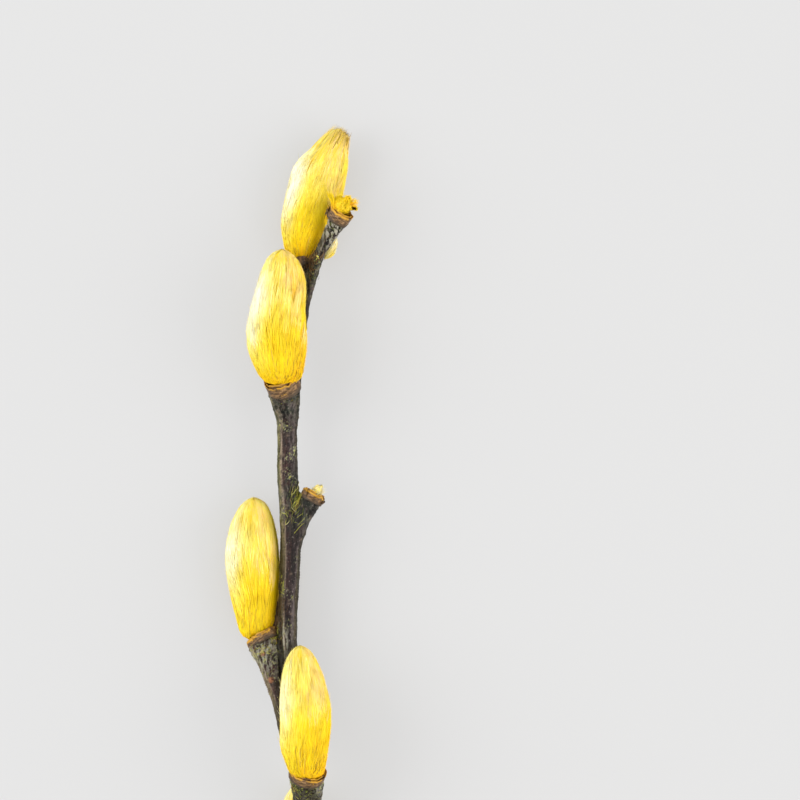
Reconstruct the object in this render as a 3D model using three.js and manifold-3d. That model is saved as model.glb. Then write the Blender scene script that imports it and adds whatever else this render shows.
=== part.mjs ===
// A cut willow twig with furry catkins, lying on a flat surface. Millimetres, +Z up.
// The twig runs along Y with its growing tip towards +Y, and the surface it lies on is z = 0.
import * as THREE from 'three';
import { mergeVertices } from 'three/addons/utils/BufferGeometryUtils.js';
import Module from 'manifold-3d';

const wasm = await Module();
wasm.setup();

// Driving dimensions, in millimetres.
const GAP = 0.3;                    // clear space between two pieces that touch
const CUT_LENGTH = 3.2;             // how far the slanting cut runs along the stem
const CUP_DEPTH = 0.5;              // how deep a catkin sits in its cup
const CUP_WALL = 0.42;              // thickness of the old bud scale at the cup's lip
const LEAD = 0.25;                  // straight start of a catkin, over its greatest width
const FOOT_ROUNDING = 0.72;         // how quickly a catkin swells above its cup: less is quicker

// How finely the round shapes are divided.
const STEM_SIDES = 16;
const SPUR_SIDES = 14;
const CATKIN_SIDES = 18;
const CATKIN_RINGS = 16;
const EGG_SIDES = 12;
const EGG_RINGS = 8;
const STEPS_PER_STATION = 2;        // rings between two stations of a limb

// The stem's centre line from the cut end to the broken tip: x, y, z and radius.
const STEM_STATIONS = [
  [6.8, -90.6, 2.0, 2.2], [5.5, -80.2, 3.5, 2.1], [4.6, -72.3, 5.2, 2.25], [3.8, -58.3, 7.6, 2.0],
  [2.4, -48.7, 8.9, 2.2], [2.0, -37.8, 9.4, 2.05], [1.0, -30.1, 8.8, 2.1], [-0.2, -19.8, 7.9, 1.95],
  [-0.8, -13.7, 7.5, 1.8], [-2.0, -2.3, 7.1, 1.55], [-2.0, 4.7, 7.0, 1.65], [-1.6, 11.7, 6.9, 1.7],
  [-1.6, 17.0, 6.85, 1.8], [-2.0, 25.7, 6.7, 1.8], [-2.2, 34.5, 6.2, 1.75], [-2.0, 39.7, 5.3, 1.8],
  [-1.1, 43.0, 4.1, 1.4], [-0.6, 45.7, 3.6, 1.2], [0.0, 51.1, 3.5, 1.1], [0.6, 55.5, 4.4, 1.08],
  [1.5, 59.1, 5.5, 1.05], [2.7, 63.2, 6.9, 1.05], [4.1, 66.3, 8.2, 1.1], [5.1, 68.2, 8.9, 1.25],
  [6.1, 69.9, 9.5, 1.6], [6.8, 71.4, 10.1, 2.1],
];

// The short side spurs, each from inside the stem to the face that its cup sits on.
const SPUR_STATIONS = {
  spur_1: [[2.4, 60.8, 5.9, 0.8], [1.2, 61.9, 5.5, 1.05], [0.5, 63.5, 5.2, 1.2]],
  spur_2: [[-2.0, 34.3, 6.2, 1.6], [-2.3, 38.3, 7.0, 2.3], [-2.7, 41.2, 8.4, 2.75]],
  spur_3: [[-1.3, -20.7, 7.8, 1.6], [-3.2, -12.8, 7.0, 1.5], [-5.0, -6.7, 6.2, 2.0], [-6.2, -2.8, 5.4, 2.95]],
  spur_4: [[1.1, -35.5, 9.0, 1.8], [1.5, -30.0, 10.0, 2.5], [1.5, -25.9, 12.75, 3.0]],
  spur_5: [[2.4, -52.2, 8.6, 1.6], [1.6, -49.2, 7.0, 2.1], [0.4, -47.1, 5.5, 2.4]],
  spur_6: [[4.5, -77.0, 4.5, 1.8], [6.3, -73.2, 4.7, 2.1], [8.7, -70.4, 4.7, 2.5]],
  spur_empty: [[-1.5, 13.5, 6.9, 1.5], [0.2, 18.9, 7.0, 1.75], [2.1, 22.4, 7.1, 2.0]],
};

// One catkin for each spur. middle and tip are places on its centre line, width and depth are its
// greatest ones, widest is how far up it they lie, base is its width there over the greatest, and
// taper and blunt shape its upper part. rim and height are the radius and the height of its cup.
const CATKINS = [
  { spur: 'spur_1', middle: [2.7, 75.2, 4.5], tip: [7.3, 87.3, 5.4], width: 9.6, depth: 9.0,
    widest: 0.45, base: 0.08, taper: 0.3, blunt: 2.6, rim: 1.6, height: 0.8 },
  { spur: 'spur_2', middle: [-4.0, 51.4, 10.2], tip: [-2.9, 66.1, 10.7], width: 10.9, depth: 9.8,
    widest: 0.37, base: 0.3, taper: 0.35, blunt: 6, rim: 3.0, height: 1.5 },
  { spur: 'spur_3', middle: [-8.3, 12.2, 4.65], tip: [-7.8, 22.7, 5.4], width: 9.7, depth: 9.3,
    widest: 0.58, base: 0.36, taper: 0.15, blunt: 2.4, rim: 3.0, height: 1.1 },
  { spur: 'spur_4', middle: [1.1, -14.2, 14.9], tip: [0.1, -3.0, 14.4], width: 9.1, depth: 8.6,
    widest: 0.5, base: 0.4, taper: 0.2, blunt: 2.5, rim: 3.3, height: 1.2 },
  { spur: 'spur_5', middle: [-0.7, -37.8, 3.6], tip: [0.4, -27.2, 4.0], width: 8.0, depth: 7.2,
    widest: 0.5, base: 0.36, taper: 0.25, blunt: 2.6, rim: 2.6, height: 1.2 },
  { spur: 'spur_6', middle: [11.4, -60.5, 4.4], tip: [11.6, -49.5, 5.0], width: 9.2, depth: 8.8,
    widest: 0.5, base: 0.32, taper: 0.22, blunt: 2.6, rim: 2.7, height: 1.2 },
];

// Cups that have lost their catkins, with what is left of the floss in each.
const EMPTY_CUPS = [
  { end: 'tip', rim: 2.2, height: 1.4, floss: 3.0, flossWidth: 4.0, lean: [-0.3, 0.1, 0.2] },
  { end: 'spur', rim: 2.05, height: 0.9, floss: 2.4, flossWidth: 1.5, lean: [0.5, -0.2, -0.9] },
];

// The unopened bud behind the upper stem: its foot, its point and its width.
const BACK_BUD = { foot: [4.4, 64.4, 6.0], point: [6.5, 68.1, 6.0], width: 2.1 };

const MATERIALS = {
  bark: new THREE.MeshStandardMaterial({ color: 0x40382f, roughness: 0.8 }),
  catkin: new THREE.MeshStandardMaterial({ color: 0xf6d21e, roughness: 0.9 }),
  scale: new THREE.MeshStandardMaterial({ color: 0xa87a4e, roughness: 0.7 }),
  floss: new THREE.MeshStandardMaterial({ color: 0xf0d24a, roughness: 0.9 }),
};

const UP = new THREE.Vector3(0, 0, 1);
const ALONG = new THREE.Vector3(0, 1, 0);    // the way a body of revolution stands before it is placed

// Frame of a limb at one point: side lies level, over completes the section.
function sectionFrame(curve, u) {
  const tangent = curve.getTangent(u);
  const side = new THREE.Vector3().crossVectors(tangent, UP).normalize();
  const over = new THREE.Vector3().crossVectors(side, tangent);
  return { centre: curve.getPoint(u), tangent, side, over };
}

// Bend a body of revolution, whose height runs from 0 to 1, along a curve.
function bendAlong(geometry, curve, sideScale = 1, overScale = 1) {
  const place = geometry.attributes.position;
  for (let i = 0; i < place.count; i += 1) {
    const frame = sectionFrame(curve, place.getY(i));
    const point = frame.centre
      .addScaledVector(frame.side, place.getX(i) * sideScale)
      .addScaledVector(frame.over, place.getZ(i) * overScale);
    place.setXYZ(i, point.x, point.y, point.z);
  }
  return geometry;
}

// Keep only the places, with the points that coincide joined.
function welded(geometry) {
  const bare = geometry.clone();
  bare.deleteAttribute('normal');
  bare.deleteAttribute('uv');
  return mergeVertices(bare, 1e-4);
}

function toManifold(geometry) {
  const bare = welded(geometry);
  return new wasm.Manifold(new wasm.Mesh({
    numProp: 3,
    vertProperties: new Float32Array(bare.attributes.position.array),
    triVerts: new Uint32Array(bare.index.array),
  }));
}

function fromManifold(solid) {
  const mesh = solid.getMesh();
  const geometry = new THREE.BufferGeometry();
  geometry.setAttribute('position', new THREE.BufferAttribute(mesh.vertProperties, 3));
  geometry.setIndex(new THREE.BufferAttribute(mesh.triVerts, 1));
  geometry.computeVertexNormals();
  return geometry;
}

// A woody limb through its stations, with flat ends square to its centre line.
function limb(stations, sides) {
  const curve = new THREE.CatmullRomCurve3(stations.map(([x, y, z]) => new THREE.Vector3(x, y, z)));
  const spans = stations.length - 1;
  const rings = spans * STEPS_PER_STATION;
  const profile = [new THREE.Vector2(0, 0)];
  for (let ring = 0; ring <= rings; ring += 1) {
    const along = (ring / rings) * spans;
    const station = Math.min(Math.floor(along), spans - 1);
    const radius = THREE.MathUtils.lerp(stations[station][3], stations[station + 1][3], along - station);
    profile.push(new THREE.Vector2(radius, ring / rings));
  }
  profile.push(new THREE.Vector2(0, 1));
  return { solid: bendAlong(new THREE.LatheGeometry(profile, sides), curve), curve };
}

// The block that the slanting cut takes off the lower end of the stem.
function cuttingBlock(curve, radius) {
  const { centre, tangent } = sectionFrame(curve, 0);
  const size = radius * 8;
  const block = new THREE.BoxGeometry(size, size, size);
  const face = new THREE.Quaternion().setFromUnitVectors(ALONG, tangent);
  const slant = new THREE.Quaternion().setFromAxisAngle(UP, -Math.atan2(CUT_LENGTH, radius * 2));
  block.translate(0, -size / 2, 0);
  block.applyQuaternion(slant).applyQuaternion(face);
  const middle = centre.addScaledVector(tangent, CUT_LENGTH / 2);
  block.translate(middle.x, middle.y, middle.z);
  return block;
}

// The stem with all of its spurs, joined in one piece.
function stemGeometry(stem, spurs) {
  let wood = toManifold(stem.solid).subtract(toManifold(cuttingBlock(stem.curve, STEM_STATIONS[0][3])));
  for (const spur of Object.values(spurs)) wood = wood.add(toManifold(spur.solid));
  return fromManifold(wood);
}

// Old bud scale: a shallow round cup, closed below, that stands on the end of a spur.
function cupGeometry(foot, rim, height) {
  const floor = height - CUP_DEPTH;
  const chamfer = CUP_WALL * 0.3;
  const outline = [[0, 0], [foot, 0], [rim, height * 0.75], [rim - chamfer, height],
    [rim - CUP_WALL, height], [rim - CUP_WALL - chamfer / 2, floor], [0, floor]];
  return new THREE.LatheGeometry(outline.map(([x, y]) => new THREE.Vector2(x, y)), CATKIN_SIDES);
}

// Where a cup stands: its foot, and the way its mouth faces.
function seatOn(curve) {
  const { centre, tangent } = sectionFrame(curve, 1);
  return { foot: centre.addScaledVector(tangent, GAP), facing: tangent };
}

function cupMesh(name, seat, foot, rim, height) {
  const mesh = new THREE.Mesh(cupGeometry(foot, rim, height), MATERIALS.scale);
  mesh.name = name;
  mesh.position.copy(seat.foot);
  mesh.quaternion.setFromUnitVectors(ALONG, seat.facing);
  return mesh;
}

// Radius of a catkin over its greatest one, from its base at 0 to its tip at 1.
function catkinFullness(t, { widest, base, taper, blunt }) {
  if (t < widest) {
    const below = (widest - t) / widest;
    return base + (1 - base) * (1 - below * below) ** FOOT_ROUNDING;
  }
  const above = (t - widest) / (1 - widest);
  return (1 - taper * above) * Math.sqrt(Math.max(0, 1 - above ** blunt));
}

// A furry catkin: a plump spindle, a little flatter than it is wide, bent from its cup to its tip.
function catkinGeometry(catkin, start, facing) {
  const lead = start.clone().addScaledVector(facing, catkin.width * LEAD);
  const curve = new THREE.CatmullRomCurve3([
    start, lead, new THREE.Vector3(...catkin.middle), new THREE.Vector3(...catkin.tip),
  ]);
  const even = {
    getPoint: (u) => curve.getPointAt(u),
    getTangent: (u) => curve.getTangentAt(u),
  };
  const profile = [new THREE.Vector2(0, 0)];
  for (let ring = 0; ring <= CATKIN_RINGS; ring += 1) {
    const t = (1 - Math.cos((Math.PI * ring) / CATKIN_RINGS)) / 2;
    profile.push(new THREE.Vector2(ring === CATKIN_RINGS ? 0 : catkinFullness(t, catkin), t));
  }
  const spindle = new THREE.LatheGeometry(profile, CATKIN_SIDES);
  return bendAlong(spindle, even, catkin.width / 2, catkin.depth / 2);
}

// A lump of floss or a closed bud: a small egg on the line between two places.
function eggMesh(name, material, from, to, width) {
  const profile = [];
  for (let ring = 0; ring <= EGG_RINGS; ring += 1) {
    const t = ring / EGG_RINGS;
    const onAxis = ring % EGG_RINGS === 0;
    profile.push(new THREE.Vector2(onAxis ? 0 : Math.sin(Math.PI * t ** 0.8) ** 0.7, t));
  }
  const egg = new THREE.LatheGeometry(profile, EGG_SIDES);
  const mesh = new THREE.Mesh(bendAlong(egg, new THREE.LineCurve3(from, to), width / 2, width / 2), material);
  mesh.name = name;
  return mesh;
}

const twig = new THREE.Group();

const stem = limb(STEM_STATIONS, STEM_SIDES);
const spurs = Object.fromEntries(
  Object.entries(SPUR_STATIONS).map(([name, stations]) => [name, limb(stations, SPUR_SIDES)]));

const stemMesh = new THREE.Mesh(stemGeometry(stem, spurs), MATERIALS.bark);
stemMesh.name = 'twig_stem';
twig.add(stemMesh);

CATKINS.forEach((catkin, index) => {
  const number = index + 1;
  const seat = seatOn(spurs[catkin.spur].curve);
  const foot = SPUR_STATIONS[catkin.spur].at(-1)[3];
  twig.add(cupMesh(`collar_${number}`, seat, foot, catkin.rim, catkin.height));

  const start = seat.foot.clone().addScaledVector(seat.facing, catkin.height - CUP_DEPTH + GAP);
  const mesh = new THREE.Mesh(catkinGeometry(catkin, start, seat.facing), MATERIALS.catkin);
  mesh.name = `catkin_${number}`;
  twig.add(mesh);
});

for (const cup of EMPTY_CUPS) {
  const onTip = cup.end === 'tip';
  const seat = seatOn(onTip ? stem.curve : spurs.spur_empty.curve);
  const foot = (onTip ? STEM_STATIONS : SPUR_STATIONS.spur_empty).at(-1)[3];
  twig.add(cupMesh(`collar_${cup.end}`, seat, foot, cup.rim, cup.height));

  const from = seat.foot.clone().addScaledVector(seat.facing, cup.height - CUP_DEPTH + GAP);
  const to = from.clone().addScaledVector(seat.facing, cup.floss).add(new THREE.Vector3(...cup.lean));
  twig.add(eggMesh(`floss_${cup.end}`, MATERIALS.floss, from, to, cup.flossWidth));
}

twig.add(eggMesh('bud_back', MATERIALS.catkin,
  new THREE.Vector3(...BACK_BUD.foot), new THREE.Vector3(...BACK_BUD.point), BACK_BUD.width));

// Lay the twig on the surface, with its middle above the origin.
twig.updateMatrixWorld(true);
const box = new THREE.Box3().setFromObject(twig, true);
const middle = box.getCenter(new THREE.Vector3());
twig.position.set(-middle.x, -middle.y, -box.min.z);

export default twig;
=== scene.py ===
import math
import bpy
import numpy as np
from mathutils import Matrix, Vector
from mathutils.bvhtree import BVHTree
from mathutils.kdtree import KDTree


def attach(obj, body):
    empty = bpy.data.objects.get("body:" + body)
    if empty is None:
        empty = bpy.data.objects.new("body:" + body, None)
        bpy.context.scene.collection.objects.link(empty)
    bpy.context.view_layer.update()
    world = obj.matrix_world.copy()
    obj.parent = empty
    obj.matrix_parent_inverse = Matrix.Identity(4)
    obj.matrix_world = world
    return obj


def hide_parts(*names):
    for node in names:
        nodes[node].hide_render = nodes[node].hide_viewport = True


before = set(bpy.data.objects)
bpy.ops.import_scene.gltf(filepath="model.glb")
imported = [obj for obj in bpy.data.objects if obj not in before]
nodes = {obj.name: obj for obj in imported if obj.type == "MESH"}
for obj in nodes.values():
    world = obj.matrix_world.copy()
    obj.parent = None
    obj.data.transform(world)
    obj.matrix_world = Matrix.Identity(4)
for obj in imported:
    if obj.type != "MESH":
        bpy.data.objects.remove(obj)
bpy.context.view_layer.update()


# The table and the light.
# The twig lies on a plain pale table top. A broad soft lamp stands to its left, a pale board
# throws some light back from its right, and the room's own light fills the rest.
MM = 0.001
table_size = 6.0
table_gap = 0.05 * MM
bpy.ops.mesh.primitive_plane_add(size=table_size, location=(0, 0, -table_gap))
table_top = bpy.context.object
table_top.name = "table_top"
table_finish = bpy.data.materials.new("pale matt table")
table_finish.use_nodes = True
table_shader = table_finish.node_tree.nodes["Principled BSDF"]
table_shader.inputs["Base Color"].default_value = (0.20, 0.20, 0.20, 1)
table_shader.inputs["Emission Color"].default_value = (1.0, 1.0, 1.0, 1)
table_shader.inputs["Emission Strength"].default_value = 0.448
table_shader.inputs["Roughness"].default_value = 0.9
table_shader.inputs["Specular IOR Level"].default_value = 0.1
table_top.data.materials.append(table_finish)

room = bpy.data.worlds.new("room")
bpy.context.scene.world = room
room.use_nodes = True
room_light = room.node_tree.nodes["Background"]
room_light.inputs["Color"].default_value = (0.97, 0.98, 1.0, 1)
room_light.inputs["Strength"].default_value = 1.15

twig_middle = Vector((0.0, 0.03, 0.008))


def add_lamp(name, place, size, power, tint):
    """A round soft lamp that faces the middle of the twig."""
    lamp_data = bpy.data.lights.new(name, "AREA")
    lamp_data.shape = "DISK"
    lamp_data.size = size
    lamp_data.energy = power
    lamp_data.color = tint
    lamp = bpy.data.objects.new(name, lamp_data)
    lamp.location = place
    lamp.rotation_euler = (twig_middle - Vector(place)).to_track_quat("-Z", "Y").to_euler()
    bpy.context.scene.collection.objects.link(lamp)


add_lamp("window_lamp", (-1.0, 0.2, 0.7), size=1.1, power=12.0, tint=(1.0, 0.985, 0.96))
add_lamp("bounce_board", (0.9, -0.1, 0.45), size=1.2, power=8.2, tint=(1.0, 0.95, 0.87))

# The camera looks straight down from far above, so that the twig's outline has hardly any
# perspective. The picture is 140 mm across at the height of the stem.
view_width = 140 * MM
view_middle = (16.15 * MM, 41.2 * MM)
view_height = 1.4
view_level = 8 * MM
camera_data = bpy.data.cameras.new("camera")
camera_data.sensor_width = 36
camera_data.lens = camera_data.sensor_width * (view_height - view_level) / view_width
camera_data.clip_end = 20
camera = bpy.data.objects.new("camera", camera_data)
camera.location = (*view_middle, view_height)
bpy.context.scene.collection.objects.link(camera)
bpy.context.scene.camera = camera
bpy.context.scene.view_settings.view_transform = "Standard"


# The stem.
# One woody stem with its short side spurs. Its dark bark is ridged along the grain, wrinkled
# in rings below the cups and freckled with pale breathing pores. It was cut on a slant below.
def mesh_points(mesh):
    """The places of a mesh's points, one row for each."""
    points = np.empty(len(mesh.vertices) * 3, np.float32)
    mesh.vertices.foreach_get("co", points)
    return points.reshape(-1, 3).astype(float)


def unit(vectors):
    """Vectors of the same direction that are 1 long."""
    tiny = 1e-12
    return vectors / np.maximum(np.linalg.norm(vectors, axis=-1, keepdims=True), tiny)


def smooth_step(low, high, value):
    """From 0 to 1 as the value goes from low to high, gently at both ends."""
    share = np.clip((value - low) / (high - low), 0, 1)
    return share * share * (3 - 2 * share)


skin_cell = 0.26 * MM
stem = bpy.data.objects.new("bark_stem", nodes["twig_stem"].data.copy())
bpy.context.scene.collection.objects.link(stem)
remesh = stem.modifiers.new("even skin", "REMESH")
remesh.mode = "VOXEL"
remesh.voxel_size = skin_cell
depsgraph = bpy.context.evaluated_depsgraph_get()
even_mesh = bpy.data.meshes.new_from_object(stem.evaluated_get(depsgraph))
stem.modifiers.clear()
stem.data = even_mesh
stem_points = mesh_points(even_mesh)
stem_count = len(stem_points)
stem_edges = np.empty(len(even_mesh.edges) * 2, np.int32)
even_mesh.edges.foreach_get("vertices", stem_edges)
stem_edges = stem_edges.reshape(-1, 2)


def near_average(values):
    """Each point's value moved to the mean of the points that it has an edge to."""
    values = values.reshape(stem_count, -1)
    spread = np.empty_like(values)
    links = np.bincount(stem_edges.ravel(), minlength=stem_count)
    for column in range(values.shape[1]):
        ends = np.bincount(stem_edges[:, 0], values[stem_edges[:, 1], column], stem_count)
        ends += np.bincount(stem_edges[:, 1], values[stem_edges[:, 0], column], stem_count)
        spread[:, column] = ends / np.maximum(links, 1)
    return spread


# Take the facets out of the skin without making the stem thinner: each round draws the points
# together and then lets them out again.
smoothing_rounds = 14
for rounding in range(smoothing_rounds):
    for pull in (0.6, -0.63):
        stem_points += pull * (near_average(stem_points) - stem_points)
even_mesh.vertices.foreach_set("co", stem_points.astype(np.float32).ravel())
even_mesh.update()
stem_normals = np.empty(stem_count * 3, np.float32)
even_mesh.vertex_normals.foreach_get("vector", stem_normals)
stem_normals = stem_normals.reshape(-1, 3).astype(float)

# The way the grain runs at each point: the direction in which the skin around it doesn't turn.
# It is found at one point in nine, and spread from these to the rest.
grain_reach = 2.2 * MM
thinning = 9
nearest_samples = 4
grain_rounds = 6
sample_ids = np.arange(0, stem_count, thinning)
sample_tree = KDTree(len(sample_ids))
for place, point in enumerate(sample_ids):
    sample_tree.insert(stem_points[point], place)
sample_tree.balance()
sample_grain = np.zeros((len(sample_ids), 3))
for place, point in enumerate(sample_ids):
    around = [found[1] for found in sample_tree.find_range(stem_points[point], grain_reach)]
    facing = stem_normals[sample_ids[around]]
    grain = np.linalg.eigh(facing.T @ facing)[1][:, 0]
    sample_grain[place] = grain if grain[1] > 0 else -grain
stem_grain = np.zeros((stem_count, 3))
for point in range(stem_count):
    near = [found[1] for found in sample_tree.find_n(stem_points[point], nearest_samples)]
    stem_grain[point] = sample_grain[near].mean(0)
for rounding in range(grain_rounds):
    stem_grain = near_average(stem_grain)
stem_grain = unit(stem_grain - (stem_grain * stem_normals).sum(1, keepdims=True) * stem_normals)

# Streaks: random values carried from point to point along the grain.
streak_step = 0.4 * MM
point_tree = KDTree(stem_count)
for point, place in enumerate(stem_points):
    point_tree.insert(place, point)
point_tree.balance()
ahead = np.array([point_tree.find(p)[1] for p in stem_points + stem_grain * streak_step])
behind = np.array([point_tree.find(p)[1] for p in stem_points - stem_grain * streak_step])


def spread_noise(seed, width):
    """Noise on the bark, evened out over this many steps from point to point."""
    noise = np.random.default_rng(seed).normal(size=stem_count)
    for spread in range(width):
        noise = near_average(noise)[:, 0]
    return noise


def streaks(seed, width, length):
    """Noise drawn out along the grain, from -2 to 2 or so. width and length are in steps."""
    noise = spread_noise(seed, width)
    total = noise.copy()
    forward, backward = ahead.copy(), behind.copy()
    for step in range(length):
        total += noise[forward] + noise[backward]
        forward, backward = ahead[forward], behind[backward]
    total = near_average(total)[:, 0] * 0.4 + total * 0.6
    return (total - total.mean()) / total.std()


def patches(seed, width):
    """Noise in round patches, from -2 to 2 or so. width is in steps."""
    noise = spread_noise(seed, width)
    return (noise - noise.mean()) / noise.std()


fine_streak = streaks(seed=11, width=0, length=7)
ridge_streak = streaks(seed=12, width=3, length=14)
broad_streak = streaks(seed=13, width=12, length=30)
red_streak = streaks(seed=14, width=5, length=26)
rough_patch = patches(seed=15, width=3)
lump_patch = patches(seed=16, width=60)
lichen_patch = patches(seed=17, width=14)


def cup_axis(cup, occupant):
    """The middle of a cup and the way its mouth faces, towards what sits in it."""
    points = mesh_points(nodes[cup].data)
    middle = (points.min(0) + points.max(0)) / 2
    thin_way = np.linalg.eigh(np.cov(points.T))[1][:, 0]
    inside = mesh_points(nodes[occupant].data).mean(0)
    facing = thin_way if thin_way @ (inside - middle) > 0 else -thin_way
    return points.mean(0), facing


occupants = {f"collar_{n}": f"catkin_{n}" for n in range(1, 7)}
occupants.update({"collar_tip": "floss_tip", "collar_spur": "floss_spur"})

# How dark and how crusted with lichen the bark below each cup is, and how strong its painted
# highlight glints are.
plain_spur = {"dark": 1.0, "crusted": 0.9, "painted_glint": 0.12}
spur_looks = {
    "collar_2": {"crusted": 0.25},
    "collar_3": {"dark": 0.5, "crusted": 1.15, "painted_glint": 0.6},
    "collar_4": {"dark": 0.7, "crusted": 1.3, "painted_glint": 0.45},
    "collar_tip": {"crusted": 0.25, "painted_glint": 1.0},
    "collar_spur": {"crusted": 0.05},
}

# Below each cup are the rings that old bud scales leave in the bark, down to 4 mm, and the moss
# and lichen that grow on its spur, down to 10 mm.
ring_gap = 0.42 * MM
ring_wave = np.zeros(stem_count)
near_cup = np.zeros(stem_count)
mossy = np.zeros(stem_count)
crusted = np.zeros(stem_count)
painted_glint = np.zeros(stem_count)
for cup, occupant in occupants.items():
    middle, facing = cup_axis(cup, occupant)
    from_cup = stem_points - middle
    below = -(from_cup @ facing)
    aside = np.linalg.norm(from_cup + below[:, None] * facing, axis=1)
    ringed = (smooth_step(4.6 * MM, 1.2 * MM, below) * smooth_step(4.7 * MM, 3.9 * MM, aside)
              * smooth_step(-1.5 * MM, -0.7 * MM, below))
    wave = np.sin(below / ring_gap * math.pi + 1.3 * broad_streak)
    ring_wave = np.where(ringed > near_cup, wave, ring_wave)
    near_cup = np.maximum(near_cup, ringed)
    on_spur = (smooth_step(10 * MM, 3 * MM, below) * smooth_step(6.4 * MM, 4.4 * MM, aside)
               * smooth_step(-3.2 * MM, -0.8 * MM, below))
    look = plain_spur | spur_looks.get(cup, {})
    mossy = np.maximum(mossy, on_spur * look["dark"])
    crusted = np.maximum(crusted, on_spur * look["crusted"])
    # How strong the painted highlight glints on its spur are.
    painted_glint = np.maximum(painted_glint, on_spur * look["painted_glint"])

# How near each point is to a catkin, as seen from above. Bark beside a catkin gets a painted shadow
# of it.
painted_shade_reach = 2.2 * MM
beside = np.zeros(stem_count)
for number in range(1, 7):
    catkin = nodes[f"catkin_{number}"].data
    points = mesh_points(catkin)
    nearby = ((stem_points > points.min(0) - painted_shade_reach)
              & (stem_points < points.max(0) + painted_shade_reach))
    flat_faces = BVHTree.FromPolygons([(p[0], p[1], 0) for p in points],
                                      [tuple(face.vertices) for face in catkin.polygons])
    for point in np.flatnonzero(nearby[:, :2].all(1)):
        gap = flat_faces.find_nearest(Vector((*stem_points[point, :2], 0)), painted_shade_reach)[3]
        if gap is not None:
            beside[point] = max(beside[point], 1 - gap / painted_shade_reach)
beside = smooth_step(0.25, 0.85, beside) * (1 - 0.8 * smooth_step(0.6, 1.0, painted_glint))

# Two old leaf scars, small raised brown rounds on the left-hand spur. Each is given by its place
# across and along the twig and its size, in millimetres.
leaf_scars = [(-7.8, -3.2, 0.55), (-6.4, -7.8, 0.7)]
scar = np.zeros(stem_count)
for across, along, size in leaf_scars:
    gap = np.linalg.norm(stem_points[:, :2] - np.array([across, along]) * MM, axis=1)
    raised = smooth_step(size * MM, 0.35 * size * MM, gap) * (stem_normals[:, 2] > 0.1)
    scar = np.maximum(scar, raised)

# The crease where the left-hand spur lies against the stem: a groove in the relief, darkened with
# painted shade.
crease_top = np.array([-5.05, 2.4]) * MM
crease_foot = np.array([-4.55, -8.2]) * MM
crease_way = crease_foot - crease_top
from_top = stem_points[:, :2] - crease_top
crease_share = np.clip(from_top @ crease_way / (crease_way @ crease_way), 0, 1)
crease_gap = np.linalg.norm(from_top - crease_share[:, None] * crease_way, axis=1)
crease_and_shade = smooth_step(0.75 * MM, 0.1 * MM, crease_gap) * smooth_step(0.0, 0.3, stem_normals[:, 2])

# Pores: small raised spots, longer across the stem than along it, each drawn from a point.
pores = 330
pore_slimness = 0.75
pore_rng = np.random.default_rng(18)
pore_height = np.zeros(stem_count)
for point in pore_rng.choice(stem_count, pores, replace=False):
    pore_reach = pore_rng.uniform(0.22, 0.5) * MM
    for place, other, distance in point_tree.find_range(stem_points[point], pore_reach * 1.6):
        offset = stem_points[other] - stem_points[point]
        lengthways = offset @ stem_grain[point]
        across = math.sqrt(max(distance * distance - lengthways * lengthways, 0))
        outwards = (lengthways / (pore_reach * pore_slimness)) ** 2 + (across / pore_reach) ** 2
        pore_height[other] = max(pore_height[other], math.exp(-2.2 * outwards))

# How far each kind of relief stands out, in millimetres.
ridges = 0.55 * ridge_streak + 0.45 * fine_streak
stem_relief = (
    0.085 * np.clip(ridges, -2.4, 1.6)
    + 0.055 * broad_streak
    + 0.035 * rough_patch
    + 0.03 * lump_patch
    + 0.075 * pore_height
    + 0.085 * ring_wave * near_cup
    + 0.13 * scar
    - 0.3 * crease_and_shade
) * MM

# The cut face is smooth pale wood, with the pith in its middle and the bark round its edge.
cut_facing = stem_normals @ np.array([0.0, -1.0, 0.0])
cut_length = 5 * MM
near_cut_end = stem_points[:, 1] < stem_points[:, 1].min() + cut_length
on_cut = smooth_step(0.35, 0.6, cut_facing) * near_cut_end
cut_middle = stem_points[on_cut > 0.5].mean(0)
cut_normal = unit(stem_normals[on_cut > 0.8].mean(0))
cut_offset = stem_points - cut_middle
cut_offset = cut_offset - (cut_offset @ cut_normal)[:, None] * cut_normal
cut_side = unit(np.cross(cut_normal, (0.0, 0.0, 1.0)))
cut_turn = np.arctan2(cut_offset[:, 2], cut_offset @ cut_side)
cut_radius = np.linalg.norm(cut_offset, axis=1)
sectors = np.linspace(-math.pi, math.pi, 25)
half_sector = 0.2
cut_reach = [cut_radius[(on_cut > 0.5) & (np.abs(cut_turn - way) < half_sector)].max()
             for way in sectors]
cut_share = cut_radius / np.interp(cut_turn, sectors, cut_reach)
stem_relief *= 1 - 0.85 * on_cut

stem_points += stem_normals * stem_relief[:, None]
even_mesh.vertices.foreach_set("co", stem_points.astype(np.float32).ravel())
even_mesh.update()
even_mesh.shade_smooth()

# What the bark's colours are mixed by at each point.
# across is how far each point faces +X, and the painted light and shade across the stem follow it.
# beside carries the painted shadow of the catkins.
across = stem_normals[:, 0] + 0.10 * ridge_streak + 0.08 * broad_streak
bark_values = {
    "across": np.clip(0.5 + 0.5 * across, 0, 1),
    "ridge": np.clip(0.5 + 0.25 * ridges + 0.1 * broad_streak, 0, 1),
    "red": smooth_step(0.2, 1.8, red_streak),
    "pore": pore_height,
    "lichen": smooth_step(0.4, 1.9, lichen_patch + 1.6 * crusted - 0.75),
    "mossy": mossy,
    "painted_glint": painted_glint,
    "beside": beside,
    "scar": scar,
    "crease_and_shade": crease_and_shade,
    "on_cut": on_cut,
    "cut_share": cut_share,
}
for name, values in bark_values.items():
    kept = even_mesh.attributes.new(name, "FLOAT", "POINT")
    kept.data.foreach_set("value", values.astype(np.float32))


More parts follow.
